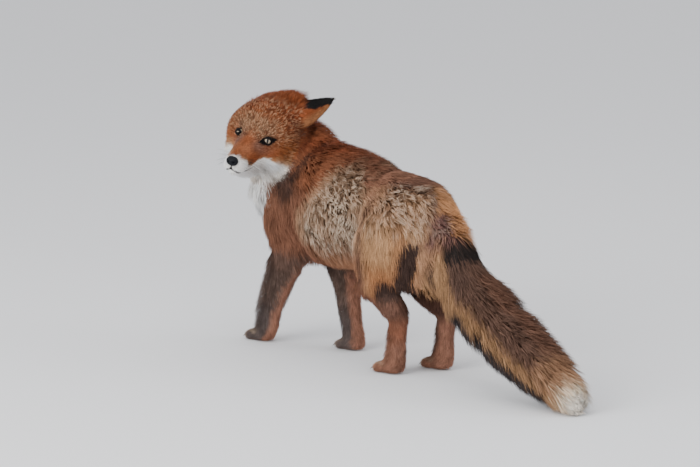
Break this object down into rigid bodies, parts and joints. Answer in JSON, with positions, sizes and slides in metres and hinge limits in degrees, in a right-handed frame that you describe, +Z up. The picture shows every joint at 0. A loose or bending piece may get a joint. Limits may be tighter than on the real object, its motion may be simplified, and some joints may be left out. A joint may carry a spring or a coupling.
{
  "type": "red fox model",
  "caption": "Still, life-size red fox standing in mid-stride, head turned back over its left shoulder, one ear back, bushy tail sweeping down to the floor.",
  "frame": {"origin": "on the floor, under the middle of the model's box", "axes": "+X the fox's left, -Y the way the body faces, +Z up"},
  "size_m": [0.2952, 0.937, 0.4702],
  "materials": {
    "red_coat": "matte rust-red fur",
    "grey_flank": "grizzled grey-beige fur, frosted hair tips",
    "buff_coat": "matte ochre-buff fur",
    "white_coat": "off-white fur",
    "dark_stocking": "black-brown fur",
    "dark_skin": "moist black skin",
    "eye": "polished amber eye with a dark upright pupil"
  },
  "bodies": {
    "root": {"chest": "red_coat", "ear_left": "red_coat", "ear_right": "red_coat", "eye_left": "eye", "eye_right": "eye", "foreleg_left": "dark_stocking", "foreleg_right": "dark_stocking", "forepaw_left": "dark_stocking", "forepaw_right": "dark_stocking", "gaskin_left": "red_coat", "gaskin_right": "red_coat", "head": "red_coat", "hindpaw_left": "red_coat", "hindpaw_right": "red_coat", "hock_left": "red_coat", "hock_right": "red_coat", "lower_jaw": "white_coat", "muzzle": "red_coat", "neck": "red_coat", "nose": "dark_skin", "rump": "red_coat", "shoulder_left": "red_coat", "shoulder_right": "red_coat", "tail_base": "buff_coat", "tail_middle": "buff_coat", "tail_tip": "white_coat", "thigh_left": "buff_coat", "thigh_right": "buff_coat", "trunk": "grey_flank"}
  },
  "joints": []
}
